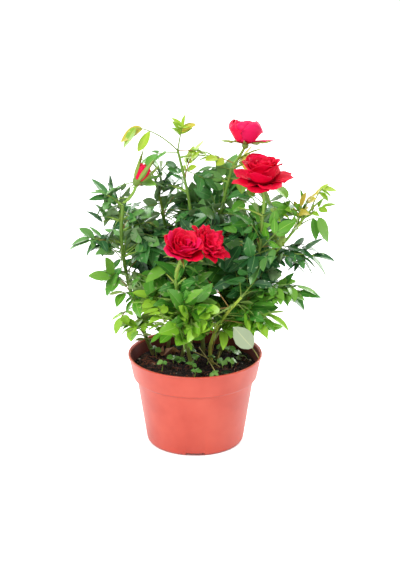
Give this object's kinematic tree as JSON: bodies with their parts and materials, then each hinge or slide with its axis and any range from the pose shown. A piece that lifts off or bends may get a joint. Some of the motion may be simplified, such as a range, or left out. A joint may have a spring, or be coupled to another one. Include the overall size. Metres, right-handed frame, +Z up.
{
  "type": "potted rose bush",
  "caption": "Patio rose bush in a round moulded plastic pot: thin canes, an open leafy crown, red blooms and a bud over potting soil.",
  "frame": {"origin": "middle of the pot's flat underside", "axes": "+Z up, +X to the plant's right seen from its front, +Y towards its back"},
  "size_m": [0.2508, 0.1961, 0.3254],
  "materials": {
    "pot": "satin moulded plastic, terracotta pink",
    "soil": "moist dark potting compost",
    "cane": "green rose cane with a dull waxy skin",
    "stalk": "young light green shoot",
    "leaf_dark": "old bluish green leaves",
    "leaf_mid": "mid green leaves",
    "leaf_bright": "fresh bright green leaves",
    "leaf_young": "young yellow green leaves with bronze edges",
    "petal": "velvety crimson petals",
    "bud": "green sepals over red petals"
  },
  "bodies": {
    "root": {"bloom_front_left": "petal", "bloom_front_right": "petal", "bloom_right": "petal", "bloom_top": "petal", "bough_right": "stalk", "bud_left": "bud", "cane_back": "cane", "cane_back_right": "cane", "cane_front": "cane", "cane_inner_left": "cane", "cane_left": "cane", "cane_middle": "cane", "cane_right": "cane", "cane_tall": "cane", "cane_young": "cane", "leaves_back": "leaf_dark", "leaves_back_left": "leaf_dark", "leaves_back_left_low": "leaf_mid", "leaves_back_left_outer": "leaf_dark", "leaves_back_low": "leaf_mid", "leaves_back_outer": "leaf_dark", "leaves_back_right": "leaf_dark", "leaves_back_right_low": "leaf_mid", "leaves_back_right_outer": "leaf_dark", "leaves_centre": "leaf_dark", "leaves_centre_left": "leaf_dark", "leaves_centre_low": "leaf_mid", "leaves_front_left": "leaf_bright", "leaves_front_right": "leaf_bright", "leaves_inner_side": "leaf_dark", "leaves_inner_tip": "leaf_young", "leaves_left_foot": "leaf_bright", "leaves_left_inner": "leaf_dark", "leaves_left_low": "leaf_mid", "leaves_left_lower": "leaf_bright", "leaves_left_outer": "leaf_dark", "leaves_left_tuft": "leaf_dark", "leaves_left_upper": "leaf_dark", "leaves_right_centre": "leaf_dark", "leaves_right_foot": "leaf_bright", "leaves_right_leaf": "leaf_mid", "leaves_right_low": "leaf_mid", "leaves_right_middle": "leaf_dark", "leaves_right_shoulder": "leaf_bright", "leaves_right_tip": "leaf_young", "leaves_right_upper": "leaf_mid", "leaves_tall_right": "leaf_young", "leaves_tip_tall": "leaf_young", "leaves_upper_left": "leaf_dark", "leaves_upper_middle": "leaf_dark", "leaves_upper_right": "leaf_dark", "leaves_young_left": "leaf_young", "leaves_young_top": "leaf_young", "pot": "pot", "potting_soil": "soil", "stalk_bud": "stalk", "stalk_front_bloom": "stalk", "stalk_right_bloom": "stalk", "stalk_top_bloom": "stalk"}
  },
  "joints": []
}
